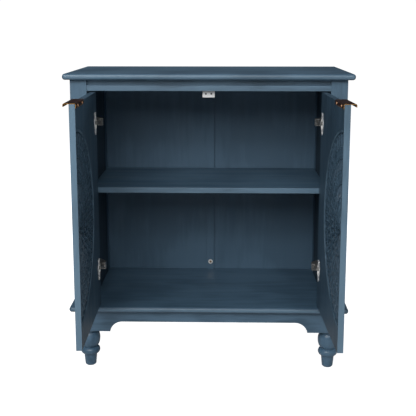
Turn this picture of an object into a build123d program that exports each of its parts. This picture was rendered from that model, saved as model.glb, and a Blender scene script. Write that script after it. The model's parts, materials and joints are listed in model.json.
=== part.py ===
"""Two-door storage cabinet on turned feet, in millimetres, +Z up, doors standing open.

Every piece is built in cabinet coordinates: X to the right, Y to the back with Y = 0 on the front
faces of the posts, Z up from the floor. The left door and its hinges are built closed and on the
left; the right-hand ones are their mirror images. Doors and hinge links are then swung to their
resting angles, and everything is moved along Y so that the origin is under the middle of the whole.
"""
from build123d import *
from math import atan2, cos, degrees, radians, sin
import os

# ---- ways of making that every piece shares ----------------------------------------------------------
overcut = 1.0
small = 0.01
down = (0, 0, -1)
up = (0, 0, 1)
frontward = (0, -1, 0)
backward = (0, 1, 0)

# ---- carcass -------------------------------------------------------------------------------------
interior_width = 672.0
stile_width = 46.0
side_overhang = 18.0
body_depth = 356.0
front_overhang = 20.0
back_overhang = 4.0
foot_height = 117.0
apron_height = 64.0
board_thickness = 16.0
top_thickness = 17.0
nose_share = 0.46
lower_clear = 325.0
upper_clear = 309.0

# ---- posts, sides and back -----------------------------------------------------------------------
post_depth = 45.0
post_chamfer = 1.0
side_rail_height = 46.0
side_lining_thickness = 9.0
side_panel_thickness = 10.0
side_panel_recess = 8.0
back_panel_thickness = 5.0
back_panel_inset = 3.0
batten_width = 24.0
batten_thickness = 6.0

# ---- front rail, base frame and feet -------------------------------------------------------------
rail_height = 31.0
rail_depth = 42.0
rail_band_height = 16.0
rail_band_inset = 2.0
rail_nose_radius = 3.0
rail_upper_inset = 10.0
back_rail_depth = 24.0
apron_thickness = 18.0
arch_rise = 30.0
bracket_length = 96.0
bracket_radius = 36.0
side_bracket_length = 62.0
corner_block_side = 50.0
corner_block_height = 42.0
foot_inset_x = 31.0
foot_inset_y = 38.0
foot_collar_radius = 24.0
foot_neck_radius = 21.0
foot_ball_radius = 29.0
foot_groove_radius = 19.0
foot_ring_radius = 28.0
foot_shank_radius = 19.0
foot_toe_radius = 16.0
foot_toe_chamfer = 3.0
foot_neck_share = 0.92
foot_ball_share = 0.66
foot_groove_share = 0.49
foot_ring_share = 0.415
foot_shank_share = 0.30

# ---- shelf ---------------------------------------------------------------------------------------
shelf_setback = 32.0
shelf_gap = 1.0
shelf_edge_radius = 1.5
shelf_pin_radius = 2.5
shelf_pin_depth = 8.0
shelf_tongue_length = 11.0
shelf_tongue_width = 8.0
shelf_tongue_thickness = 3.0
shelf_heel_length = 2.0
shelf_pin_inset = 40.0

# ---- doors ---------------------------------------------------------------------------------------
door_thickness = 15.0
door_side_gap = 2.0
door_centre_gap = 3.0
door_bottom_gap = 3.5
door_top_gap = 3.5
door_pivot_inset = 7.5
door_rest_left = 89.0
door_rest_right = 92.0
door_lipping = 4.0
medallion_radius = 245.0
medallion_relief = 2.0
medallion_rings = (84.0, 152.0, 206.0, 240.0)
medallion_ring_width = 4.0
medallion_core_inset = 3.0

# ---- pulls and magnetic catch --------------------------------------------------------------------
pull_length = 116.0
pull_edge_gap = 2.0
pull_sheet = 1.6
pull_reach = 15.0
pull_lip = 8.0
pull_flange = 10.0
pull_bend_radius = 2.4
pull_screw_offsets = (26.0, 90.0)
pull_screw_head_radius = 3.0
catch_width = 34.0
catch_height = 19.0
catch_depth = 21.0
catch_gap = 0.5
catch_corner_radius = 1.5
catch_magnet_radius = 2.6
catch_magnet_length = 10.0
catch_magnet_spacing = 15.0
catch_screw_spacing = 20.0
catch_screw_inset = 5.0
catch_screw_grip = 5.0
catch_bore_clearance = 0.2

# ---- concealed hinges: plan offsets are from the door's pivot line, X towards the opening ----------
hinge_drop = 85.0
hinge_rise = 109.0
cup_radius = 17.5
cup_edge_distance = 3.5
cup_skin = 2.5
cup_wall = 1.0
cup_rim_width = 1.0
cup_flange_height = 63.0
cup_flange_width = 21.0
cup_flange_thickness = 1.2
cup_flange_flat = 1.0
cup_screw_spacing = 50.0
cup_screw_offset = 5.5
plate_height = 46.0
plate_thickness = 8.0
plate_setback = 6.8
plate_length = 36.0
plate_ear_thickness = 2.0
plate_ear_start = 6.0
plate_ear_end = 20.0
plate_ear_corner = 5.0
plate_screw_spacing = 32.0
arm_height = 19.0
arm_wall = 1.5
arm_reach = 39.4
arm_clearance = 1.0
arm_depth = 17.0
arm_foot_setback = 2.0
arm_shoulder = (14.0, 3.5)
arm_nose_start = 17.0
arm_tail_width = 9.0
arm_hollow_start = 6.0
arm_hollow_depth = 11.0
link_pin_radius = 1.5
link_pin_clearance = 0.05
link_half_width = 2.6
link_tip_radius = 1.2
link_knee_offset = 4.0
link_knee_rise = 7.0
link_heel_offset = 2.8
link_heel_rise = 0.4
outer_pin_out = 20.6
outer_pin_setback = 2.6
outer_tip_depth = 5.7
inner_pin_out = 25.3
inner_pin_setback = 3.2
inner_tip_depth = 1.6
outer_link_span = (3.0, 4.6)
inner_link_span = (0.0, 2.6)

# ---- fasteners -----------------------------------------------------------------------------------
screw_radius = 1.8
screw_head_radius = 3.5
screw_head_height = 1.6
screw_length = 11.0
pilot_bite = 0.1
bolt_radius = 4.0
bolt_in_foot = 34.0
bolt_in_block = 30.0
washer_radius = 7.5
washer_thickness = 1.2
washer_rise = 25.0

# ---- levels and lines that follow from the sizes above ---------------------------------------------
half_inner = interior_width / 2
half_body = half_inner + stile_width
half_top = half_body + side_overhang
z_frame = foot_height
z_board = z_frame + apron_height
z_floor = z_board + board_thickness
z_shelf = z_floor + lower_clear
z_shelf_top = z_shelf + board_thickness
z_ceiling = z_shelf_top + upper_clear
z_rail = z_ceiling - rail_height
y_back_panel = body_depth - back_panel_inset - back_panel_thickness
y_batten = y_back_panel - batten_thickness

door_low = z_floor + door_bottom_gap
door_high = z_rail - door_top_gap
door_middle = (door_low + door_high) / 2
pivot_x = -(half_inner - door_side_gap - door_pivot_inset)
hinge_edge_x = -(half_inner - door_side_gap)
free_edge_x = -door_centre_gap / 2
cup_x = hinge_edge_x + cup_edge_distance + cup_radius
cup_depth = door_thickness - cup_skin
carving_edge_x = free_edge_x - door_lipping
hinge_levels = (door_low + hinge_rise, door_high - hinge_drop)

arm_front = door_thickness + cup_flange_thickness + arm_clearance
plate_front = arm_front + plate_setback
outer_arm_pin = (outer_pin_out, arm_front + outer_pin_setback)
inner_arm_pin = (inner_pin_out, arm_front + inner_pin_setback)
outer_cup_radius = door_thickness - outer_tip_depth
inner_cup_radius = door_thickness - inner_tip_depth

foot_x = half_body - foot_inset_x
foot_y = (foot_inset_y, body_depth - foot_inset_y)
pull_start_x = free_edge_x - pull_edge_gap
catch_y = door_thickness + pull_sheet + catch_gap
catch_low = z_rail - catch_height


def block(x0, x1, y0, y1, z0, z1):
    """A rectangular block between two values along each axis."""
    middle = Pos((x0 + x1) / 2, (y0 + y1) / 2, (z0 + z1) / 2)
    return middle * Box(abs(x1 - x0), abs(y1 - y0), abs(z1 - z0))


def rod(start, direction, radius, length):
    """A cylinder from a point along a direction."""
    flat = Align.CENTER
    return Plane(start, z_dir=direction) * Cylinder(radius, length, align=(flat, flat, Align.MIN))


def mirrored(shape):
    """The same piece on the other side of the cabinet."""
    return mirror(shape, about=Plane.YZ)


def turned(shape, centre, angle):
    """A shape turned about an upright line through a point in plan."""
    return shape.rotate(Axis((centre[0], centre[1], 0), (0, 0, 1)), angle)


def together(shapes):
    """Separate solids held in one node."""
    return Compound([solid for shape in shapes for solid in shape.solids()])


def drilled(shape, holes):
    """A shape with every hole taken out of it."""
    for hole in holes:
        shape = shape - hole
    return shape


# ---- boards ----------------------------------------------------------------------------------------
def moulded_board(z0, thickness, back):
    """A board with a rounded nose along its front and both ends, square at the back."""
    board = block(-half_top, half_top, -front_overhang, body_depth + back, z0, z0 + thickness)
    nose = nose_share * thickness
    upright = board.edges().filter_by(Axis.Z)
    corner = upright.filter_by(lambda e: e.center().Y < -front_overhang + small)
    board = fillet(corner, nose)
    sides = board.edges().filter_by(lambda e: abs(e.center().X) > half_top - 2 * nose)
    front = board.edges().filter_by(lambda e: e.center().Y < -front_overhang + 2 * nose)
    rounded = [e for e in sides + front if abs(e.tangent_at(0.5).Z) < small]
    rounded = [e for e in rounded if e.center().Y < body_depth + back - small]
    return fillet(list(dict.fromkeys(rounded)), nose)


def shelf_board():
    half = half_inner - shelf_gap
    shelf = block(-half, half, shelf_setback, y_batten - shelf_gap, z_shelf, z_shelf_top)
    front = shelf.edges().filter_by(Axis.X).group_by(Axis.Y)[0]
    return fillet(front, shelf_edge_radius)


def shelf_pins():
    """Spoon-shaped supports: a peg in the side lining and a flat tongue under the shelf."""
    pins = []
    for side in (-1, 1):
        for y in (shelf_setback + shelf_pin_inset, y_batten - shelf_pin_inset):
            wall = side * half_inner
            inner = side * (half_inner - shelf_tongue_length)
            half = shelf_tongue_width / 2
            tongue = block(wall, inner, y - half, y + half, z_shelf - shelf_tongue_thickness, z_shelf)
            low = z_shelf - 2 * shelf_tongue_thickness
            heel_end = side * (half_inner - shelf_heel_length)
            heel = block(wall, heel_end, y - half, y + half, low, z_shelf)
            peg = rod((wall, y, z_shelf - shelf_tongue_thickness), (side, 0, 0), shelf_pin_radius,
                      shelf_pin_depth)
            pins.append(tongue + heel + peg)
    return pins


# ---- sides, posts, rails and back ------------------------------------------------------------------
def post(side, back):
    y0 = body_depth - post_depth if back else 0.0
    shape = block(side * half_inner, side * half_body, y0, y0 + post_depth, z_floor, z_ceiling)
    upright = shape.edges().filter_by(Axis.Z)
    outer = upright.filter_by(lambda e: abs(e.center().X) > half_body - small)
    return chamfer(outer, post_chamfer)


def side_rails():
    """Upper and lower rails between the posts, on both sides."""
    rails = []
    inner = half_inner + side_lining_thickness
    for side in (-1, 1):
        for z0 in (z_floor, z_ceiling - side_rail_height):
            rails.append(block(side * inner, side * half_body, post_depth, body_depth - post_depth,
                               z0, z0 + side_rail_height))
    return rails


def side_panel(side):
    outer = half_body - side_panel_recess
    low = z_floor + side_rail_height
    high = z_ceiling - side_rail_height
    return block(side * (outer - side_panel_thickness), side * outer, post_depth,
                 body_depth - post_depth, low, high)


def side_lining(side):
    return block(side * half_inner, side * (half_inner + side_lining_thickness), post_depth,
                 body_depth - post_depth, z_floor, z_ceiling)


def front_rail():
    """A rail in two bands: the lower one stands forward, the upper one is set back."""
    lower = block(-half_inner, half_inner, rail_band_inset, rail_depth, z_rail,
                  z_rail + rail_band_height)
    nose = lower.edges().filter_by(Axis.X).group_by(Axis.Y)[0]
    lower = fillet(nose.group_by(Axis.Z)[-1], rail_nose_radius)
    upper = block(-half_inner, half_inner, rail_upper_inset, rail_depth,
                  z_rail + rail_band_height, z_ceiling)
    return lower + upper


def back_rail():
    front = y_back_panel - back_rail_depth
    return block(-half_inner, half_inner, front, y_back_panel, z_rail, z_ceiling)


def back_panel(side):
    back = y_back_panel + back_panel_thickness
    return block(0, side * half_inner, y_back_panel, back, z_floor, z_ceiling)


def back_batten():
    half = batten_width / 2
    return block(-half, half, y_batten, y_back_panel, z_floor, z_rail)


# ---- base frame ------------------------------------------------------------------------------------
def arch_tool(half_span, thickness):
    """The hollow under an apron: flat in the middle, with a quarter arc at each bracket."""
    flat_half = half_span - bracket_radius
    with BuildPart() as tool:
        with BuildSketch(Plane.XZ.offset(-thickness - overcut)):
            with BuildLine():
                left_foot = (-half_span, z_frame - overcut)
                left_low = (-half_span, z_frame)
                left_high = (-flat_half, z_frame + arch_rise)
                right_high = (flat_half, z_frame + arch_rise)
                right_low = (half_span, z_frame)
                right_foot = (half_span, z_frame - overcut)
                Line(left_foot, left_low)
                TangentArc(left_high, left_low, tangent=(-1, 0))
                Line(left_high, right_high)
                TangentArc(right_high, right_low, tangent=(1, 0))
                Line(right_low, right_foot)
                Line(right_foot, left_foot)
            make_face()
        extrude(amount=thickness + 2 * overcut)
    return tool.part


def apron(half_length, bracket):
    """A length of apron along X, its front face on Y = 0, arched along its lower edge."""
    board = block(-half_length, half_length, 0, apron_thickness, z_frame, z_board)
    return board - arch_tool(half_length - bracket, apron_thickness)


def front_apron():
    return apron(half_body, bracket_length)


def back_apron():
    return Pos(0, body_depth - apron_thickness, 0) * apron(half_body, bracket_length)


def side_apron(side):
    length = body_depth - 2 * apron_thickness
    along_y = Rot(0, 0, 90) * (Pos(0, -apron_thickness, 0) * apron(length / 2, side_bracket_length))
    shape = Pos(half_body - apron_thickness, body_depth / 2, 0) * along_y
    return shape if side > 0 else mirrored(shape)


def corner_blocks():
    blocks = []
    inner = half_body - apron_thickness
    for side in (-1, 1):
        for y0 in (apron_thickness, body_depth - apron_thickness - corner_block_side):
            blocks.append(block(side * (inner - corner_block_side), side * inner, y0,
                                y0 + corner_block_side, z_frame, z_frame + corner_block_height))
    return blocks


def turned_foot():
    """A turned foot about Z: collar, neck, ball, groove, ring and a tapered shank."""
    neck_z = foot_neck_share * foot_height
    ball_z = foot_ball_share * foot_height
    groove_z = foot_groove_share * foot_height
    ring_z = foot_ring_share * foot_height
    shank_z = foot_shank_share * foot_height
    with BuildPart() as foot:
        with BuildSketch(Plane.XZ):
            with BuildLine():
                Polyline((0, 0), (foot_toe_radius - foot_toe_chamfer, 0),
                         (foot_toe_radius, foot_toe_chamfer), (foot_shank_radius, shank_z))
                ThreePointArc((foot_shank_radius, shank_z), (foot_ring_radius, ring_z),
                              (foot_groove_radius, groove_z))
                Spline((foot_groove_radius, groove_z), (foot_ball_radius, ball_z),
                       (foot_neck_radius, neck_z),
                       tangents=((0.9, 0.6), (-0.55, 0.6)))
                Polyline((foot_neck_radius, neck_z), (foot_collar_radius, neck_z),
                         (foot_collar_radius, foot_height), (0, foot_height), (0, 0))
            make_face()
        revolve(axis=Axis.Z)
    return foot.part


def foot_bolts():
    length = bolt_in_foot + bolt_in_block
    low = z_frame - bolt_in_foot
    return [rod((side * foot_x, y, low), up, bolt_radius, length) for side in (-1, 1) for y in foot_y]


def bolt_holes():
    """The holes that the bolts bite into, through feet and corner blocks alike."""
    length = bolt_in_foot + bolt_in_block
    low = z_frame - bolt_in_foot
    radius = bolt_radius - pilot_bite
    return [rod((side * foot_x, y, low), up, radius, length) for side in (-1, 1) for y in foot_y]


# ---- screws ----------------------------------------------------------------------------------------
def screw(seat, direction, head_radius=screw_head_radius):
    """A pan-head screw: the seat is where its head meets the surface, driven along the direction."""
    flat = Align.CENTER
    head = Cylinder(head_radius, screw_head_height, align=(flat, flat, Align.MIN))
    head = fillet(head.edges().group_by(Axis.Z)[-1], screw_head_height / 2)
    back = tuple(-value for value in direction)
    return Plane(seat, z_dir=back) * head + rod(seat, direction, screw_radius, screw_length)


def pilot(seat, direction):
    """The hole that a screw's thread bites into."""
    return rod(seat, direction, screw_radius - pilot_bite, screw_length)


# ---- doors, built closed on the left ---------------------------------------------------------------
def door_panel():
    """A flat door with a half-round opening beside its free edge and a recess for each hinge cup."""
    panel = block(hinge_edge_x, free_edge_x, 0, door_thickness, door_low, door_high)
    round_tool = rod((free_edge_x, -overcut, door_middle), backward, medallion_radius,
                     door_thickness + 2 * overcut)
    panel -= round_tool & beside_lipping(2 * door_thickness)
    for z in hinge_levels:
        panel -= rod((cup_x, door_thickness + overcut, z), frontward, cup_radius, cup_depth + overcut)
    for seat in cup_screw_seats() + pull_screw_seats():
        panel -= pilot(seat, frontward)
    return panel


def beside_lipping(half_depth):
    """The room that the carving may fill: everything short of the plain strip at the free edge."""
    span = medallion_radius + overcut
    return block(carving_edge_x - span, carving_edge_x, -half_depth, half_depth,
                 door_middle - span, door_middle + span)


def medallion():
    """The carved half-round panel: a core with raised rings on both faces."""
    low = medallion_core_inset
    high = door_thickness - medallion_core_inset
    centre = (free_edge_x, low, door_middle)
    disc = rod(centre, backward, medallion_radius, high - low)
    for radius in medallion_rings:
        ring = rod((free_edge_x, low - medallion_relief, door_middle), backward, radius,
                   high - low + 2 * medallion_relief)
        ring -= rod((free_edge_x, 0, door_middle), backward, radius - medallion_ring_width,
                    door_thickness)
        disc += ring
    return disc & beside_lipping(2 * door_thickness)


def pull():
    """A bent sheet over the door's top edge: flange behind, plate on top, lip in front."""
    outer = -pull_reach + pull_sheet / 2
    inner = door_thickness + pull_sheet / 2
    level = door_high + pull_sheet / 2
    with BuildPart() as sheet:
        with BuildSketch(Plane.YZ.offset(pull_start_x - pull_length)):
            with BuildLine():
                FilletPolyline((inner, door_high - pull_flange), (inner, level), (outer, level),
                               (outer, door_high + pull_sheet - pull_lip), radius=pull_bend_radius)
            trace(line_width=pull_sheet)
        extrude(amount=pull_length)
    room = block(pull_start_x - pull_length - overcut, pull_start_x + overcut, 0, door_thickness,
                 door_high - pull_flange - overcut, door_high)
    return sheet.part - room


def pull_screw_seats():
    y = door_thickness
    z = door_high - pull_flange / 2
    return [(pull_start_x - offset, y, z) for offset in pull_screw_offsets]


def pull_screws():
    return [screw((x, y + pull_sheet, z), frontward, pull_screw_head_radius)
            for x, y, z in pull_screw_seats()]


def pull_with_holes():
    shape = pull()
    for x, y, z in pull_screw_seats():
        shape -= pilot((x, y + pull_sheet, z), frontward)
    return shape


def hinge_cup(z):
    """A round cup let into the door, with a tall flange screwed to the door's inner face."""
    face = door_thickness
    cup = rod((cup_x, face, z), frontward, cup_radius, cup_depth)
    half_w = cup_flange_width / 2
    half_h = cup_flange_height / 2
    flange = block(cup_x - half_w, cup_x + half_w, face, face + cup_flange_thickness, z - half_h,
                   z + half_h)
    flange = fillet(flange.edges().filter_by(Axis.Y), half_w - cup_flange_flat)
    rim = rod((cup_x, face, z), backward, cup_radius + cup_rim_width, cup_flange_thickness)
    mouth = cup_flange_thickness + overcut
    hollow = rod((cup_x, face + mouth, z), frontward, cup_radius - cup_wall,
                 cup_depth - cup_wall + mouth)
    shape = cup + flange + rim - hollow
    for seat_x, seat_y, seat_z in cup_screw_seats():
        shape -= pilot((seat_x, seat_y + cup_flange_thickness, seat_z), frontward)
    return shape


def cup_screw_seats():
    x = cup_x + cup_screw_offset
    half = cup_screw_spacing / 2
    return [(x, door_thickness, z + step * half) for z in hinge_levels for step in (-1, 1)]


def cup_screws():
    return [screw((x, y + cup_flange_thickness, z), frontward) for x, y, z in cup_screw_seats()]


# ---- hinge plates and arms on the cabinet, built on the left -----------------------------------------
def hinge_plate(z):
    """The plate screwed to the post, with an ear above and below the arm."""
    x0 = -half_inner
    plate = block(x0, x0 + plate_thickness, plate_front, plate_front + plate_length,
                  z - arm_height / 2, z + arm_height / 2)
    ear_half = plate_height / 2
    ears = block(x0, x0 + plate_ear_thickness, plate_front + plate_ear_start,
                 plate_front + plate_ear_end, z - ear_half, z + ear_half)
    ears = fillet(ears.edges().filter_by(Axis.X), plate_ear_corner)
    shape = plate + ears
    for hole in plate_pilots():
        shape -= hole
    return shape


def plate_screw_seats():
    """Where the screw heads meet the plates' ears."""
    x = -half_inner + plate_ear_thickness
    y = plate_front + (plate_ear_start + plate_ear_end) / 2
    half = plate_screw_spacing / 2
    return [(x, y, z + step * half) for z in hinge_levels for step in (-1, 1)]


def plate_pilots():
    return [pilot(seat, (-1, 0, 0)) for seat in plate_screw_seats()]


def plate_screws():
    left = [screw(seat, (-1, 0, 0)) for seat in plate_screw_seats()]
    return left + [mirrored(shape) for shape in left]


def arm_pin(plan):
    """A link pin's place in plan, from its offset to the door's pivot."""
    return (pivot_x + plan[0], plan[1])


def hinge_arm(z):
    """A cranked channel that reaches past the door's inner face and holds the link pins."""
    x0 = -half_inner + plate_thickness
    x1 = -half_inner + arm_reach
    tail = plate_front + plate_length
    shoulder_out, shoulder_back = arm_shoulder
    outline = [(x0, tail), (x0, plate_front + arm_foot_setback),
               (pivot_x + shoulder_out, arm_front + shoulder_back),
               (pivot_x + arm_nose_start, arm_front), (x1, arm_front),
               (x1, arm_front + arm_depth), (x0 + arm_tail_width, tail)]
    low = z - arm_height / 2
    high = z + arm_height / 2
    body = Pos(0, 0, low) * extrude(make_face(Polyline(*outline, close=True)), arm_height)
    body -= block(x0 + arm_hollow_start, x1 - arm_wall, arm_front - overcut,
                  arm_front + arm_hollow_depth, low + arm_wall, high - arm_wall)
    inner_x, inner_y = arm_pin(inner_arm_pin)
    body += rod((inner_x, inner_y, low), up, link_pin_radius, arm_height)
    outer_x, outer_y = arm_pin(outer_arm_pin)
    stub = arm_height / 2 - outer_link_span[0]
    body += rod((outer_x, outer_y, low), up, link_pin_radius, stub)
    body += rod((outer_x, outer_y, high), down, link_pin_radius, stub)
    return body


# ---- hinge links -------------------------------------------------------------------------------------
def cup_end(arm_pin_plan, radius):
    """Where a link's far end lies with the door closed, so that it is at the same distance from the
    arm pin with the door closed and with the door at a right angle."""
    slope = atan2(arm_pin_plan[1], arm_pin_plan[0])
    angle = slope + radians(45)
    return (radius * cos(angle), radius * sin(angle))


def link_turn(arm_pin_plan, radius):
    """How far a link turns while its door opens by a right angle, in degrees."""
    closed = cup_end(arm_pin_plan, radius)
    opened = (closed[1], -closed[0])
    angles = [atan2(end[1] - arm_pin_plan[1], end[0] - arm_pin_plan[0]) for end in (closed, opened)]
    return degrees(angles[1] - angles[0])


def link(arm_pin_plan, radius, low, high):
    """A hooked strap between two levels, drawn with the door at a right angle and turned to closed."""
    closed = cup_end(arm_pin_plan, radius)
    tip = (closed[1], -closed[0])
    knee = (door_thickness + link_knee_offset, link_knee_rise)
    heel = (door_thickness + link_heel_offset, tip[1] + link_heel_rise)
    plan = [(pivot_x + x, y) for x, y in (arm_pin_plan, knee, heel, tip)]
    eye = plan[0]
    with BuildPart() as strap:
        with BuildSketch(Plane.XY.offset(low)):
            for start, end in zip(plan, plan[1:]):
                with BuildLine():
                    Line(start, end)
                trace(line_width=2 * link_tip_radius)
            with Locations(*plan[1:]):
                Circle(link_tip_radius)
            with Locations(eye):
                Circle(link_half_width)
                Circle(link_pin_radius + link_pin_clearance, mode=Mode.SUBTRACT)
        extrude(amount=high - low)
    return turned(strap.part, eye, -link_turn(arm_pin_plan, radius))


def link_levels(span):
    """The heights of a link's straps about the hinge: one across the middle, or one on each side."""
    low, high = span
    return [(-high, high)] if low == 0 else [(low, high), (-high, -low)]


# ---- magnetic catch ----------------------------------------------------------------------------------
def catch_body():
    half = catch_width / 2
    body = block(-half, half, catch_y, catch_y + catch_depth, catch_low, z_rail)
    body = fillet(body.edges().filter_by(Axis.Z), catch_corner_radius)
    for magnet in catch_magnets():
        body -= magnet
    for seat in catch_screw_seats():
        body -= rod(seat, down, screw_head_radius + catch_bore_clearance, catch_height)
        body -= pilot(seat, up)
    return body


def catch_magnets():
    half = catch_magnet_spacing / 2
    level = (door_high - pull_flange / 2 + z_rail - catch_height / 2) / 2
    return [rod((side * half, catch_y, level), backward, catch_magnet_radius, catch_magnet_length)
            for side in (-1, 1)]


def catch_screw_seats():
    """Where the screw heads sit, at the top of the two bores that come up from below."""
    y = catch_y + catch_depth - catch_screw_inset
    return [(side * catch_screw_spacing / 2, y, z_rail - catch_screw_grip) for side in (-1, 1)]


def catch_screws():
    return [screw(seat, up) for seat in catch_screw_seats()]


# ---- the washer and screw at the foot of the batten ----------------------------------------------------
def batten_washer():
    seat = (0, y_batten, z_floor + washer_rise)
    ring = rod(seat, frontward, washer_radius, washer_thickness)
    return ring - rod(seat, frontward, screw_radius, washer_thickness)


def batten_screw_seat():
    return (0, y_batten - washer_thickness, z_floor + washer_rise)


def batten_screw():
    return screw(batten_screw_seat(), backward)


def batten_pilot():
    return pilot(batten_screw_seat(), backward)


# ---- assembly ----------------------------------------------------------------------------------------
def carcass_pieces():
    """The fixed pieces, by name."""
    names = {"left": -1, "right": 1}
    rows = {"front": foot_y[0], "back": foot_y[1]}
    bolts = bolt_holes()
    pieces = {
        "top_board": moulded_board(z_ceiling, top_thickness, back_overhang),
        "bottom_board": moulded_board(z_board, board_thickness, back_overhang),
        "shelf": shelf_board(),
        "shelf_pins": together(shelf_pins()),
        "top_rail_front": drilled(front_rail(), [pilot(seat, up) for seat in catch_screw_seats()]),
        "top_rail_back": back_rail(),
        "side_rails": together(side_rails()),
        "back_batten": back_batten() - batten_pilot(),
        "back_washer": batten_washer(),
        "back_screw": batten_screw(),
        "apron_front": front_apron(),
        "apron_back": back_apron(),
        "foot_bolts": together(foot_bolts()),
        "corner_blocks": together([drilled(corner, bolts) for corner in corner_blocks()]),
        "catch_body": catch_body(),
        "catch_magnets": together(catch_magnets()),
        "catch_screws": together(catch_screws()),
        "hinge_plate_screws": together(plate_screws()),
    }
    for name, side in names.items():
        holes = plate_pilots()
        if side > 0:
            holes = [mirrored(hole) for hole in holes]
        pieces[f"front_post_{name}"] = drilled(post(side, False), holes)
        pieces[f"back_post_{name}"] = post(side, True)
        pieces[f"side_panel_{name}"] = side_panel(side)
        pieces[f"side_lining_{name}"] = drilled(side_lining(side), shelf_pins())
        pieces[f"back_panel_{name}"] = back_panel(side) - batten_pilot()
        pieces[f"apron_{name}"] = side_apron(side)
        for row, y in rows.items():
            foot = Pos(side * foot_x, y, 0) * turned_foot()
            pieces[f"foot_{row}_{name}"] = drilled(foot, bolts)
    for level, z in zip(("lower", "upper"), hinge_levels):
        pieces[f"hinge_plate_{level}_left"] = hinge_plate(z)
        pieces[f"hinge_plate_{level}_right"] = mirrored(hinge_plate(z))
        pieces[f"hinge_arm_{level}_left"] = hinge_arm(z)
        pieces[f"hinge_arm_{level}_right"] = mirrored(hinge_arm(z))
    return pieces


def door_pieces():
    """The left door's pieces, closed."""
    pieces = {
        "door_panel": door_panel(),
        "door_medallion": medallion(),
        "pull": pull_with_holes(),
        "pull_screws": together(pull_screws()),
        "cup_screws": together(cup_screws()),
    }
    for level, z in zip(("lower", "upper"), hinge_levels):
        pieces[f"hinge_cup_{level}"] = hinge_cup(z)
    return pieces


link_kinds = {
    "outer": (outer_arm_pin, outer_cup_radius, outer_link_span),
    "inner": (inner_arm_pin, inner_cup_radius, inner_link_span),
}


def link_pieces(kind):
    """One kind of link for the left door's two hinges, closed."""
    plan, radius, span = link_kinds[kind]
    return together([link(plan, radius, z + low, z + high) for z in hinge_levels
                     for low, high in link_levels(span)])


def assembly(left=door_rest_left, right=door_rest_right):
    """Every node by name, in cabinet coordinates, with each door opened by an angle in degrees."""
    nodes = carcass_pieces()
    for name, shape in door_pieces().items():
        nodes[f"{name}_left"] = turned(shape, (pivot_x, 0), -left)
        nodes[f"{name}_right"] = turned(mirrored(shape), (-pivot_x, 0), right)
    for kind, (plan, radius, _) in link_kinds.items():
        per_degree = link_turn(plan, radius) / 90
        shape = link_pieces(kind)
        eye = arm_pin(plan)
        nodes[f"hinge_{kind}_links_left"] = turned(shape, eye, per_degree * left)
        nodes[f"hinge_{kind}_links_right"] = turned(mirrored(shape), (-eye[0], eye[1]),
                                                    -per_degree * right)
    return nodes


def rest_shift(nodes):
    """How far everything moves along Y to put the origin under the middle of the resting cabinet."""
    box = together(nodes.values()).bounding_box()
    return -(box.min.Y + box.max.Y) / 2


def main():
    os.makedirs("parts", exist_ok=True)
    nodes = assembly()
    shift = rest_shift(nodes)
    print("shift along Y:", round(shift, 3))
    for name, shape in nodes.items():
        export_step(Pos(0, shift, 0) * shape, f"parts/{name}.step")


if __name__ == "__main__":
    main()
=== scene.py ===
"""The finished look of a two-door storage cabinet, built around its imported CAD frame, in metres."""
import json
import math

import bpy
import numpy as np
from mathutils import Matrix, Vector


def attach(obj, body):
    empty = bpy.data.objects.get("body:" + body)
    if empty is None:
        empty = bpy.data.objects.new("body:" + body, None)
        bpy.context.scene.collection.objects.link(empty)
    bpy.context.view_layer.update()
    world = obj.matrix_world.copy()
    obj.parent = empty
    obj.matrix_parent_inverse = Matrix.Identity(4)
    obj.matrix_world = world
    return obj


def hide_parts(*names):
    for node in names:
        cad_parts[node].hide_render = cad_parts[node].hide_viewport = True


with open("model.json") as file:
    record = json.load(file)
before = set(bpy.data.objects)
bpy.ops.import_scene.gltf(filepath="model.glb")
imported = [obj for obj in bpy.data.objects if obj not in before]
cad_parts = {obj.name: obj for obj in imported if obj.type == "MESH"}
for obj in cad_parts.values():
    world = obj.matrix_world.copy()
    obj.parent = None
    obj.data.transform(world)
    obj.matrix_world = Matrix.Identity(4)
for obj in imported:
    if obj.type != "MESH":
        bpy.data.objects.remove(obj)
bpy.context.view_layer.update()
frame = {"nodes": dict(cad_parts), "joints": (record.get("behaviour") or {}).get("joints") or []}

MM = 0.001
SIDES = ("left", "right")
WHITE = (1.0, 1.0, 1.0, 1.0)

# ---- camera, as fitted to the view of the cabinet from the front and a little above ----------------
CAMERA_PLACE = (0.0428, -2.1279, 0.9978)
CAMERA_PITCH = 9.90
CAMERA_YAW = 1.197
CAMERA_LENS = 66.56
CAMERA_SHIFT_Y = -0.12
CAMERA_SENSOR = 36.0
CAMERA_REACH = 60.0

# ---- softboxes: name, azimuth from the front and elevation in degrees, width, height and power ------
# They stand on a sphere of radius LIGHT_REACH. The back ones aren't seen in reflections.
LIGHT_REACH = 3.6
LIGHT_CENTRE_HEIGHT = 0.5
LIGHT_TARGET = (0.0, 0.0, 0.45)
SOFTBOXES = (
    ("front_middle", 0, 28, 2.4, 1.2, 27.0), ("front_high", 0, 42, 2.4, 1.2, 29.0),
    ("front_left", -22, 28, 1.8, 1.2, 27.0), ("left_high", -30, 45, 1.8, 1.8, 18.0),
    ("overhead", 0, 78, 1.8, 1.8, 9.0), ("back_left", -125, 18, 1.8, 1.8, 44.0),
    ("back_right", 125, 18, 1.8, 1.8, 40.0), ("back_middle", 178, 35, 2.0, 1.4, 24.0),
)

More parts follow.
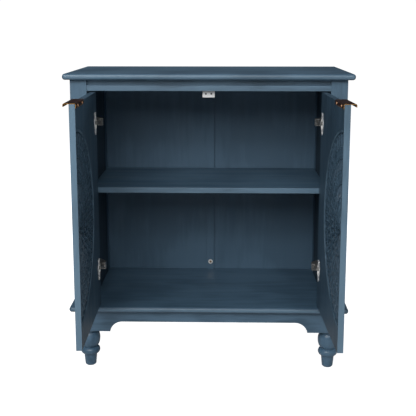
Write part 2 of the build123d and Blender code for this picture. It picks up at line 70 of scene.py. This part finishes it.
# ---- colours, linear ---------------------------------------------------------------------------
PAINT = (0.083, 0.157, 0.235)
PAINT_DARK = (0.045, 0.094, 0.148)
# rubbed paint and painted highlight: the lighter blue on edges and carved crests
PAINT_WORN_AND_LIT = (0.150, 0.245, 0.335)
# painted light: the lighter blue on faces that look to the front, as if lit from there
PAINT_FRONT_LIT = (0.122, 0.208, 0.290)
BRONZE = (0.016, 0.007, 0.006)
BRONZE_LIGHT = (0.050, 0.018, 0.013)
GOLD = (0.90, 0.48, 0.12)
COPPER = (0.90, 0.50, 0.27)
NICKEL = (0.95, 0.95, 0.94)
ARM_STEEL = (0.40, 0.40, 0.39)
WASHER_STEEL = (0.88, 0.87, 0.84)
SCREW_BROWN = (0.30, 0.20, 0.13)
ZINC = (0.55, 0.55, 0.55)
MAGNET = (0.06, 0.06, 0.07)
PLASTIC = (0.80, 0.81, 0.82)
RAW_WOOD = (0.52, 0.36, 0.20)
# painted shade: the carved panels darker all over, and much darker in the hollows
CARVED_SHADE_TONE = 0.56
HOLLOW_SHADE_TONE = 0.16
TARNISH_TONE = 0.45

# ---- room: a white floor that glows for the camera, more so far from the cabinet, and a white world ---
FLOOR_HALF = 12.0
FLOOR_GREY = (0.60, 0.60, 0.60, 1.0)
FLOOR_NEAR = 0.5
FLOOR_FAR = 1.6
FLOOR_GLOW = 0.87
WORLD_LIGHT = 0.04
WORLD_SEEN = 1.05

# ---- paint -----------------------------------------------------------------------------------------
STREAK_SCALE = 60.0
FINE_SCALE = 260.0
MOTTLE_SCALE = 5.0
STREAK_SHARE = 0.55
MOTTLE_SHARE = 0.60
# how dark and light the painted front light runs
FRONT_LIT_TONES = (0.72, 1.05)
# edges lighten partly as rubbed paint and partly as a painted highlight
RUB_AND_SHEEN_RADIUS = 2.2 * MM
RUB_AND_SHEEN_SHARE = 0.75
SOFT_EDGE = 0.9 * MM

# ---- how noise is stretched along the axes -----------------------------------------------------------
EVENLY = (1.0, 1.0, 1.0)
ALONG_X = (0.10, 1.0, 1.0)
ALONG_Y = (1.0, 0.10, 1.0)
ALONG_Z = (1.0, 1.0, 0.10)
TURNED_Z = (1.0, 1.0, 0.5)
BRUSHED_Z = (1.0, 1.0, 0.15)
GRAIN_X = (1.0, 8.0, 8.0)

# ---- node helpers --------------------------------------------------------------------------------
NOISE_LOW = 0.3
NOISE_HIGH = 0.7
BEVEL_SAMPLES = 4
FRONTWARD = (0.0, -1.0, 0.0)
FRONT_LEAN = (0.80, 0.97)
MIX_FACTOR, MIX_FIRST, MIX_SECOND, MIX_RESULT = 0, 6, 7, 2


def toned(colour, tone):
    """A colour made darker or lighter by a factor."""
    return tuple(c * tone for c in colour)


class Graph:
    """A short way to write one material's nodes."""

    def __init__(self, name):
        self.material = bpy.data.materials.new(name)
        self.material.use_nodes = True
        self.tree = self.material.node_tree
        self.tree.nodes.clear()

    def add(self, kind, inputs=None, **settings):
        node = self.tree.nodes.new(kind)
        for key, value in settings.items():
            setattr(node, key, value)
        for key, value in (inputs or {}).items():
            if isinstance(value, bpy.types.NodeSocket):
                self.tree.links.new(value, node.inputs[key])
            else:
                node.inputs[key].default_value = value
        return node

    def math(self, operation, first, second=0.0, clamp=False):
        node = self.add("ShaderNodeMath", {0: first, 1: second}, operation=operation, use_clamp=clamp)
        return node.outputs[0]

    def mix(self, factor, first, second):
        inputs = {MIX_FACTOR: factor}
        for key, value in ((MIX_FIRST, first), (MIX_SECOND, second)):
            inputs[key] = value if isinstance(value, bpy.types.NodeSocket) else (*value, 1.0)
        return self.add("ShaderNodeMix", inputs, data_type="RGBA").outputs[MIX_RESULT]

    def place(self, scale):
        """Object coordinates in metres, stretched by a scale along each axis."""
        coordinates = self.add("ShaderNodeTexCoord").outputs["Object"]
        mapped = self.add("ShaderNodeMapping", {"Vector": coordinates, "Scale": scale})
        return mapped.outputs[0]

    def noise(self, scale, detail=3.0, roughness=0.5, stretch=EVENLY):
        node = self.add("ShaderNodeTexNoise", {"Vector": self.place(stretch), "Scale": scale,
                                               "Detail": detail, "Roughness": roughness})
        return node.outputs[0]

    def span(self, value, low, high, out_low=0.0, out_high=1.0):
        node = self.add("ShaderNodeMapRange", {"Value": value, "From Min": low, "From Max": high,
                                               "To Min": out_low, "To Max": out_high})
        return node.outputs[0]

    def uneven(self, noise, low, high):
        """A value that a noise moves between a low and a high."""
        return self.span(noise, NOISE_LOW, NOISE_HIGH, low, high)

    def rounded(self, radius):
        """The normal with edges rounded over a radius."""
        return self.add("ShaderNodeBevel", {"Radius": radius}, samples=BEVEL_SAMPLES).outputs[0]

    def edges(self, radius, low, high):
        """1 along sharp outer edges and 0 on flat faces, from how far a rounded normal leans."""
        bevel = self.rounded(radius)
        flat = self.add("ShaderNodeNewGeometry").outputs["Normal"]
        lean = self.add("ShaderNodeVectorMath", {0: bevel, 1: flat}, operation="DOT_PRODUCT")
        return self.span(lean.outputs["Value"], high, low)

    def facing_front(self):
        """1 on faces that look along -Y at rest, from the object's own normals."""
        normal = self.add("ShaderNodeTexCoord").outputs["Normal"]
        lean = self.add("ShaderNodeVectorMath", {0: normal, 1: FRONTWARD}, operation="DOT_PRODUCT")
        return self.span(lean.outputs["Value"], *FRONT_LEAN)

    def bump(self, height, strength, distance, soft_radius=0.0):
        """A normal with small bumps, on edges rounded over a radius if there is one."""
        inputs = {"Height": height, "Strength": strength, "Distance": distance}
        if soft_radius:
            inputs["Normal"] = self.rounded(soft_radius)
        return self.add("ShaderNodeBump", inputs).outputs[0]

    def finish(self, inputs):
        shader = self.add("ShaderNodeBsdfPrincipled", inputs)
        out = self.add("ShaderNodeOutputMaterial")
        self.tree.links.new(shader.outputs[0], out.inputs[0])
        return self.material


# ---- materials -----------------------------------------------------------------------------------
def painted(name, stretch, grain=1.0, wear_and_sheen=1.0, tone=1.0, roughness=0.46, front=0.0, contrast=1.0):
    """Brushed-on blue paint: faint streaks along the board and mottling, with edges lightened partly as
    rubbed paint and partly as a painted highlight. Faces that look to the front at rest can be lighter:
    painted front light."""
    g = Graph(name)
    streak = g.noise(STREAK_SCALE, 4.0, 0.6, stretch)
    fine = g.noise(FINE_SCALE, 3.0, 0.6, stretch)
    mottle = g.noise(MOTTLE_SCALE, 2.0, 0.5)
    blend = g.math("ADD", g.math("MULTIPLY", streak, STREAK_SHARE * grain),
                   g.math("MULTIPLY", mottle, MOTTLE_SHARE))
    factor = g.span(blend, 0.37 + 0.10 * grain, 0.44 + 0.18 * grain)
    # tone gives darker or lighter copies of the paint: painted shade on the doors, linings and shelves,
    # painted light on the feet
    light = toned(PAINT, tone)
    dark = tuple(tone * (d * contrast + c * (1.0 - contrast)) for d, c in zip(PAINT_DARK, PAINT))
    base = g.mix(factor, dark, light)
    # painted light: faces that look to the front at rest get a lighter blue
    if front:
        front_lit = g.mix(factor, *(toned(PAINT_FRONT_LIT, share) for share in FRONT_LIT_TONES))
        base = g.mix(g.math("MULTIPLY", g.facing_front(), front), base, front_lit)
    patches = g.span(g.noise(34.0), 0.25, 0.60)
    # edges lighten partly as rubbed paint and partly as a painted highlight
    rub_and_sheen = g.math("MULTIPLY", g.edges(RUB_AND_SHEEN_RADIUS, 0.88, 0.994), patches, clamp=True)
    rub_and_sheen = g.math("MULTIPLY", rub_and_sheen, min(1.0, RUB_AND_SHEEN_SHARE * wear_and_sheen))
    base = g.mix(rub_and_sheen, base, toned(PAINT_WORN_AND_LIT, tone))
    rough = g.uneven(g.noise(22.0, 4.0, 0.6, stretch), roughness - 0.07, roughness + 0.08)
    height = g.math("ADD", g.math("MULTIPLY", streak, 0.5), g.math("MULTIPLY", fine, 0.5))
    normal = g.bump(height, 0.30 * grain, 0.5 * MM, soft_radius=SOFT_EDGE)
    return g.finish({"Base Color": base, "Roughness": rough, "Normal": normal})


def carved():
    """The same paint on carving: darker all over and in the hollows as painted shade, crests lightened as
    rubbed paint and painted highlight.
    """
    g = Graph("paint_carved_lit_and_shaded")
    depth = g.add("ShaderNodeAttribute", attribute_name="relief").outputs["Fac"]
    tone = g.uneven(g.noise(40.0, 4.0, 0.6), 0.0, 1.0)
    # painted shade: the whole carving a darker copy of the paint
    base = g.mix(tone, toned(PAINT_DARK, CARVED_SHADE_TONE), toned(PAINT, CARVED_SHADE_TONE))
    # painted shade in the hollows
    base = g.mix(g.span(depth, 0.42, 0.06), base, toned(PAINT_DARK, HOLLOW_SHADE_TONE))
    # crests lighten partly as rubbed paint and partly as a painted highlight
    crest = g.math("MULTIPLY", g.span(depth, 0.66, 0.92), g.span(g.noise(55.0), 0.30, 0.60), clamp=True)
    base = g.mix(g.math("MULTIPLY", crest, 0.80), base, PAINT_WORN_AND_LIT)
    rough = g.uneven(g.noise(30.0), 0.34, 0.46)
    normal = g.bump(g.noise(420.0, 3.0), 0.25, 0.4 * MM)
    return g.finish({"Base Color": base, "Roughness": rough, "Normal": normal})


def bronze():
    """Dark antique bronze, mottled, with edges rubbed to gold."""
    g = Graph("antique_bronze")
    patina = g.span(g.noise(90.0, 5.0, 0.65), 0.35, 0.68)
    base = g.mix(patina, BRONZE, BRONZE_LIGHT)
    edge = g.edges(1.6 * MM, 0.86, 0.992)
    worn = g.math("MULTIPLY", edge, g.span(g.noise(70.0), 0.15, 0.38), clamp=True)
    spots = g.math("MULTIPLY", g.span(g.noise(160.0, 4.0, 0.7), 0.66, 0.78), 0.4)
    worn = g.math("MAXIMUM", worn, spots)
    base = g.mix(worn, base, GOLD)
    rough = g.uneven(g.noise(120.0), 0.42, 0.58)
    normal = g.bump(g.noise(200.0, 3.0), 0.35, 0.5 * MM, soft_radius=0.4 * MM)
    shine = g.span(worn, 0.0, 0.6, 0.35, 0.60)
    return g.finish({"Base Color": base, "Metallic": shine, "Roughness": rough, "Normal": normal})


def metal(name, colour, roughness, stretch=EVENLY, spots=0.15, metallic=1.0):
    """Plated metal with fine brushing and a little tarnish."""
    g = Graph(name)
    brushed = g.noise(400.0, 2.0, 0.5, stretch)
    tarnish = g.span(g.noise(45.0, 4.0, 0.6), 0.45, 0.75)
    base = g.mix(g.math("MULTIPLY", tarnish, spots), colour, toned(colour, TARNISH_TONE))
    rough = g.uneven(brushed, roughness - 0.06, roughness + 0.08)
    normal = g.bump(brushed, 0.2, 0.2 * MM, soft_radius=0.3 * MM)
    return g.finish({"Base Color": base, "Metallic": metallic, "Roughness": rough, "Normal": normal})


def plastic():
    """Moulded white plastic, a little uneven."""
    g = Graph("white_plastic")
    tone = g.span(g.noise(60.0, 3.0), 0.35, 0.65)
    base = g.mix(tone, toned(PLASTIC, 0.93), PLASTIC)
    rough = g.uneven(g.noise(300.0), 0.38, 0.5)
    normal = g.bump(g.noise(900.0, 2.0), 0.15, 0.2 * MM, soft_radius=0.6 * MM)
    return g.finish({"Base Color": base, "Roughness": rough, "Normal": normal})


def raw_wood():
    """Bare softwood, for the blocks inside the base."""
    g = Graph("raw_wood")
    rings = g.noise(28.0, 5.0, 0.65, GRAIN_X)
    base = g.mix(g.span(rings, 0.35, 0.65), toned(RAW_WOOD, 0.6), RAW_WOOD)
    rough = g.uneven(rings, 0.62, 0.8)
    normal = g.bump(rings, 0.3, 0.6 * MM)
    return g.finish({"Base Color": base, "Roughness": rough, "Normal": normal})


def floor_white():
    """A plain white floor that keeps only faint contact shadows."""
    g = Graph("floor_white")
    diffuse = g.add("ShaderNodeBsdfDiffuse", {"Color": FLOOR_GREY})
    seen = g.add("ShaderNodeLightPath").outputs["Is Camera Ray"]
    place = g.add("ShaderNodeTexCoord").outputs["Object"]
    reach = g.add("ShaderNodeVectorMath", {0: place}, operation="LENGTH").outputs["Value"]
    strength = g.math("MULTIPLY", seen, g.span(reach, FLOOR_NEAR, FLOOR_FAR, FLOOR_GLOW, 1.0))
    glow = g.add("ShaderNodeEmission", {"Color": WHITE, "Strength": strength})
    both = g.add("ShaderNodeAddShader", {0: diffuse.outputs[0], 1: glow.outputs[0]})
    out = g.add("ShaderNodeOutputMaterial")
    g.tree.links.new(both.outputs[0], out.inputs[0])
    return g.material


# front= sets how much painted front light a part's front-facing faces get
paint_x = painted("paint_along_x", ALONG_X, front=0.1)
paint_y = painted("paint_along_y", ALONG_Y)
paint_z = painted("paint_along_z", ALONG_Z, front=0.3)
# painted highlight: the top's front nose made lighter
paint_top_front_lit = painted("paint_top_front_lit", ALONG_X, wear_and_sheen=1.3, roughness=0.35, front=1.0, contrast=0.75)
paint_side = painted("paint_side", ALONG_Z, contrast=0.55)
# painted shade: shelves and bottom board a darker copy of the paint, with painted front light on their
# fronts
paint_shelf_lit_and_shaded = painted("paint_shelf_lit_and_shaded", ALONG_X, tone=0.84, roughness=0.40, front=0.85, contrast=0.75)
# painted light: the rail's front made lighter
paint_rail_front_lit = painted("paint_rail_front_lit", ALONG_X, front=0.75)
# painted shade: the doors a darker copy of the paint, with painted light on their front edges
paint_door_lit_and_shaded = painted("paint_door_lit_and_shaded", ALONG_Z, tone=0.60, front=1.0, contrast=0.8)
# painted shade: the inside linings a much darker copy of the paint
paint_inside_shaded = painted("paint_inside_shaded", ALONG_Z, tone=0.30, wear_and_sheen=0.5, roughness=0.60)
# painted light: the feet a lighter copy of the paint, with more rubbed paint and painted highlight on
# edges
paint_feet_lit = painted("paint_turned_lit", TURNED_Z, grain=1.0, wear_and_sheen=1.8, tone=1.12, roughness=0.33)
paint_back = painted("paint_back", ALONG_Z, grain=0.6, wear_and_sheen=0.4, tone=0.96, roughness=0.58, contrast=0.42)
paint_carved_lit_and_shaded = carved()
metal_bronze = bronze()
metal_copper = metal("copper_screw", COPPER, 0.34, metallic=0.6)
metal_nickel = metal("nickel_hinge", NICKEL, 0.34, BRUSHED_Z, metallic=0.35)
metal_arm = metal("hinge_arm", ARM_STEEL, 0.30, BRUSHED_Z, spots=0.5, metallic=0.85)
metal_washer = metal("bright_washer", WASHER_STEEL, 0.40, metallic=0.30)
metal_screw = metal("brown_screw", SCREW_BROWN, 0.40, metallic=0.5)
metal_zinc = metal("zinc_steel", ZINC, 0.38, metallic=0.7)
metal_magnet = metal("magnet_end", MAGNET, 0.45)
plastic_white = plastic()
wood_raw = raw_wood()

# the first prefix that fits a node's name gives its material
BY_PREFIX = (
    ("top_board", paint_top_front_lit), ("bottom_board", paint_shelf_lit_and_shaded), ("shelf_pins", metal_nickel),
    ("shelf", paint_shelf_lit_and_shaded), ("top_rail", paint_rail_front_lit), ("apron_left", paint_y),
    ("apron_right", paint_y), ("apron", paint_x), ("foot_bolts", metal_zinc), ("foot_", paint_feet_lit),
    ("back_screw", metal_screw), ("back_washer", metal_washer), ("back_post", paint_z),
    ("back_", paint_back), ("front_post", paint_z), ("side_rails", paint_y),
    ("side_lining", paint_inside_shaded), ("side_panel", paint_side), ("door_panel", paint_door_lit_and_shaded),
    ("door_medallion", paint_carved_lit_and_shaded), ("pull_screws", metal_copper), ("pull", metal_bronze),
    ("catch_body", plastic_white), ("catch_magnets", metal_magnet), ("catch_screws", metal_zinc),
    ("hinge_plate_screws", metal_zinc), ("cup_screws", metal_zinc), ("hinge_cup", metal_nickel),
    ("hinge_", metal_arm), ("corner_blocks", wood_raw),
)


def dress_nodes():
    """Gives every CAD node its material."""
    for name, node in frame["nodes"].items():
        material = next(made for prefix, made in BY_PREFIX if name.startswith(prefix))
        node.data.materials.clear()
        node.data.materials.append(material)


# ---- carved half-round panels --------------------------------------------------------------------
# rings: inner and outer share of the radius, motifs in a full turn, and the motif
RINGS = (
    (0.000, 0.130, 12, "leaf"), (0.130, 0.340, 24, "leaf"), (0.340, 0.475, 36, "scallop"),
    (0.475, 0.610, 48, "leaf"), (0.610, 0.725, 48, "scallop"), (0.725, 0.840, 60, "leaf"),
    (0.840, 0.975, 48, "scallop"), (0.975, 1.001, 48, "rim"),
)
BOLD_RINGS = (0.340, 0.610, 0.840)
FINE_RINGS = (0.130, 0.475, 0.725)
BOLD_HEIGHT, BOLD_WIDTH = 0.88, 0.010
FINE_HEIGHT, FINE_WIDTH = 0.62, 0.006
RIM_HEIGHT = 0.94
LEAF_WIDTH, LEAF_SKEW, LEAF_FULLNESS = 0.90, 0.85, 0.6
RIB_HEIGHT, RIB_WIDTH = 0.25, 0.13
VEIN_HEIGHT, VEIN_PITCH, VEIN_SLANT = 0.10, 22.0, 6.0
SMALL_LEAF_HEIGHT, SMALL_LEAF_START, SMALL_LEAF_SQUEEZE = 0.55, 0.45, 1.4
ARCH_FOOT, ARCH_HALF_WIDTH, ARCH_RISE = 0.48, 0.98, 0.50
ARCH_RADIUS, ARCH_WIDTH, ARCH_HEIGHT = 0.80, 0.15, 0.92
BEAD_PLACE, BEAD_STRETCH, BEAD_SPREAD, BEAD_HEIGHT = 0.42, 1.5, 0.11, 0.85
RELIEF_DEPTH = 4.6 * MM
FACE_SINK = 0.5 * MM
RADIAL_STEPS = 190
ANGLE_STEPS = 520


def leaf(u, v):
    """Height of a pointed leaf, for u across it from -1 to 1 and v along it from 0 to 1."""
    width = np.maximum(np.sin(np.pi * v ** LEAF_SKEW), 0.0) ** LEAF_FULLNESS * LEAF_WIDTH + 0.001
    across = np.minimum(np.abs(u) / width, 1.0)
    dome = np.sqrt(1.0 - across ** 2)
    rib = RIB_HEIGHT * np.exp(-(u / RIB_WIDTH) ** 2)
    veins = VEIN_HEIGHT * np.cos(VEIN_PITCH * v - VEIN_SLANT * np.abs(u))
    return np.where(across < 1.0, np.minimum(0.70 * dome + rib + veins * dome, 1.0), 0.0)


def scallop(u, v):
    """Height of an outlined arch with a bead in it."""
    arch = np.hypot(u / ARCH_HALF_WIDTH, np.maximum(v - ARCH_FOOT, 0.0) / ARCH_RISE)
    outline = np.exp(-((arch - ARCH_RADIUS) / ARCH_WIDTH) ** 2)
    bead = np.exp(-(u ** 2 + (BEAD_STRETCH * (v - BEAD_PLACE)) ** 2) / BEAD_SPREAD)
    return np.maximum(ARCH_HEIGHT * outline, BEAD_HEIGHT * bead)


def carving(share, angle):
    """Height of the carving, 0 in the hollows to 1 on the crests, by share of the radius and angle."""
    height = np.zeros_like(share)
    for index, (inner, outer, count, kind) in enumerate(RINGS):
        along = np.clip((share - inner) / (outer - inner), 0.0, 1.0)
        turns = angle / (2 * np.pi) * count + (0.5 if index % 2 else 0.0)
        across = (turns - np.floor(turns)) * 2 - 1
        between = (turns + 0.5 - np.floor(turns + 0.5)) * 2 - 1
        if kind == "rim":
            shape = np.full_like(share, RIM_HEIGHT)
        elif kind == "leaf":
            late = np.clip((along - SMALL_LEAF_START) / (1.0 - SMALL_LEAF_START), 0.0, 1.0)
            small = SMALL_LEAF_HEIGHT * leaf(between * SMALL_LEAF_SQUEEZE, late)
            shape = np.maximum(leaf(across, along), small)
        else:
            shape = scallop(across, along)
        inside = (share >= inner) & (share < outer)
        height = np.where(inside, shape, height)
    edges = [(edge, BOLD_HEIGHT, BOLD_WIDTH) for edge in BOLD_RINGS]
    edges += [(edge, FINE_HEIGHT, FINE_WIDTH) for edge in FINE_RINGS]
    for edge, crest, width in edges:
        height = np.maximum(height, crest * np.exp(-((share - edge) / width) ** 2))
    return height


def door_frame(side):
    """The swing of a door: its pivot, its axis and how far it stands open, in radians."""
    joint = next(j for j in frame["joints"] if j["name"] == f"door_{side}_swing")
    return Vector(joint["pos_m"]), Vector(joint["axis"]), math.radians(-joint["range_deg"][0])


def swing(side, opened):
    """The matrix that turns a door from closed to an opening angle."""
    pivot, axis, _ = door_frame(side)
    turn = Matrix.Rotation(opened, 4, axis)
    return Matrix.Translation(pivot) @ turn @ Matrix.Translation(-pivot)


def closed_bounds(node, side):
    """The box of a door's node with the door closed."""
    _, _, rest = door_frame(side)
    back = swing(side, -rest)
    points = [back @ v.co for v in frame["nodes"][node].data.vertices]
    low = Vector(min(p[i] for p in points) for i in range(3))
    high = Vector(max(p[i] for p in points) for i in range(3))
    return low, high


def relief_panel(side):
    """A half-round panel carved on both faces, in place of the plain one."""
    low, high = closed_bounds(f"door_medallion_{side}", side)
    door_low, door_high = closed_bounds(f"door_panel_{side}", side)
    left = side == "left"
    free_x = door_high.x if left else door_low.x
    inward = -1.0 if left else 1.0
    lip = abs(free_x - (high.x if left else low.x))
    radius = abs(free_x - (low.x if left else high.x))
    middle = (high.z + low.z) / 2
    shares = np.linspace(0.0, 1.0, RADIAL_STEPS + 1)[:, None]
    angles = np.linspace(-np.pi / 2, np.pi / 2, ANGLE_STEPS + 1)[None, :]
    tall = math.sqrt(radius ** 2 - lip ** 2)
    bulge = np.sqrt(radius ** 2 - (tall * np.sin(angles)) ** 2) - lip
    heights = carving(shares + 0.0 * angles, angles + 0.0 * shares)
    x = free_x + inward * (lip + shares * bulge)
    z = middle + shares * tall * np.sin(angles)
    sunk = FACE_SINK + (1.0 - heights) * RELIEF_DEPTH
    row = ANGLE_STEPS + 1
    used = np.r_[0, row:row * (RADIAL_STEPS + 1)]  # one centre point, then every ring
    outer = np.stack([x, door_low.y + sunk, z], axis=-1).reshape(-1, 3)[used]
    inner = np.stack([x, door_high.y - sunk, z], axis=-1).reshape(-1, 3)[used]
    verts = np.concatenate([outer, inner])
    first = np.arange(ANGLE_STEPS) + 1
    corner = (np.arange(RADIAL_STEPS - 1)[:, None] * row + first[None, :]).reshape(-1)
    quads = np.stack([corner, corner + 1, corner + row + 1, corner + row], axis=-1)
    fan = np.stack([0 * first, first + 1, first], axis=-1)
    faces = []
    for patch in (fan, quads):
        faces += (patch[:, ::-1] if left else patch).tolist()
        faces += ((patch if left else patch[:, ::-1]) + len(used)).tolist()
    starts = [1 + ring * row for ring in range(RADIAL_STEPS)]
    rim = [0] + [start + ANGLE_STEPS for start in starts]
    rim += [starts[-1] + k for k in range(ANGLE_STEPS - 1, 0, -1)]
    rim += starts[::-1]
    for a, b in zip(rim, rim[1:] + rim[:1]):
        quad = (a, b, len(used) + b, len(used) + a)
        faces.append(quad if left else quad[::-1])
    mesh = bpy.data.meshes.new(f"carved_panel_{side}")
    mesh.from_pydata(verts.tolist(), [], faces)
    levels = np.tile(heights.reshape(-1)[used], 2)
    mesh.attributes.new("relief", "FLOAT", "POINT").data.foreach_set("value", levels)
    mesh.materials.append(paint_carved_lit_and_shaded)
    _, _, rest = door_frame(side)
    mesh.transform(swing(side, rest))
    mesh.shade_smooth()
    panel = bpy.data.objects.new(f"carved_panel_{side}", mesh)
    bpy.context.scene.collection.objects.link(panel)
    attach(panel, f"door_{side}")
    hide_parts(f"door_medallion_{side}")


# ---- stage, light and camera ---------------------------------------------------------------------
def stage():
    """A wide floor under the cabinet."""
    mesh = bpy.data.meshes.new("floor")
    corners = ((-1, -1), (1, -1), (1, 1), (-1, 1))
    mesh.from_pydata([(x * FLOOR_HALF, y * FLOOR_HALF, 0.0) for x, y in corners], [], [(0, 1, 2, 3)])
    mesh.materials.append(floor_white())
    floor = bpy.data.objects.new("floor", mesh)
    bpy.context.scene.collection.objects.link(floor)


def softbox(name, azimuth, elevation, width, height, power):
    """A rectangular area light that looks at the cabinet."""
    light = bpy.data.lights.new(name, "AREA")
    light.shape = "RECTANGLE"
    light.size = width
    light.size_y = height
    light.energy = power
    turn, rise = math.radians(azimuth), math.radians(elevation)
    reach = LIGHT_REACH * math.cos(rise)
    level = LIGHT_CENTRE_HEIGHT + LIGHT_REACH * math.sin(rise)
    place = Vector((reach * math.sin(turn), -reach * math.cos(turn), level))
    box = bpy.data.objects.new(name, light)
    box.location = place
    box.rotation_euler = (Vector(LIGHT_TARGET) - place).to_track_quat("-Z", "Y").to_euler()
    box.visible_glossy = not name.startswith("back_")
    bpy.context.scene.collection.objects.link(box)


def white_room():
    """A world that gives little light and is white to the camera."""
    world = bpy.data.worlds.new("white_room")
    world.use_nodes = True
    tree = world.node_tree
    tree.nodes.clear()
    seen = tree.nodes.new("ShaderNodeLightPath")
    mix = tree.nodes.new("ShaderNodeMixShader")
    out = tree.nodes.new("ShaderNodeOutputWorld")
    tree.links.new(seen.outputs["Is Camera Ray"], mix.inputs[0])
    for socket, strength in enumerate((WORLD_LIGHT, WORLD_SEEN), start=1):
        background = tree.nodes.new("ShaderNodeBackground")
        background.inputs["Color"].default_value = WHITE
        background.inputs["Strength"].default_value = strength
        tree.links.new(background.outputs[0], mix.inputs[socket])
    tree.links.new(mix.outputs[0], out.inputs[0])
    bpy.context.scene.world = world


def camera():
    """The photo's camera, level sideways, pitched down and shifted."""
    data = bpy.data.cameras.new("camera")
    data.lens = CAMERA_LENS
    data.sensor_width = CAMERA_SENSOR
    data.shift_y = CAMERA_SHIFT_Y
    data.clip_end = CAMERA_REACH
    view = bpy.data.objects.new("camera", data)
    view.location = CAMERA_PLACE
    view.rotation_euler = (math.radians(90.0 - CAMERA_PITCH), 0.0, math.radians(CAMERA_YAW))
    bpy.context.scene.collection.objects.link(view)
    bpy.context.scene.camera = view


camera()
dress_nodes()
for door_side in SIDES:
    relief_panel(door_side)
stage()
for softbox_row in SOFTBOXES:
    softbox(*softbox_row)
white_room()
bpy.context.scene.view_settings.view_transform = "Standard"

bpy.context.view_layer.update()
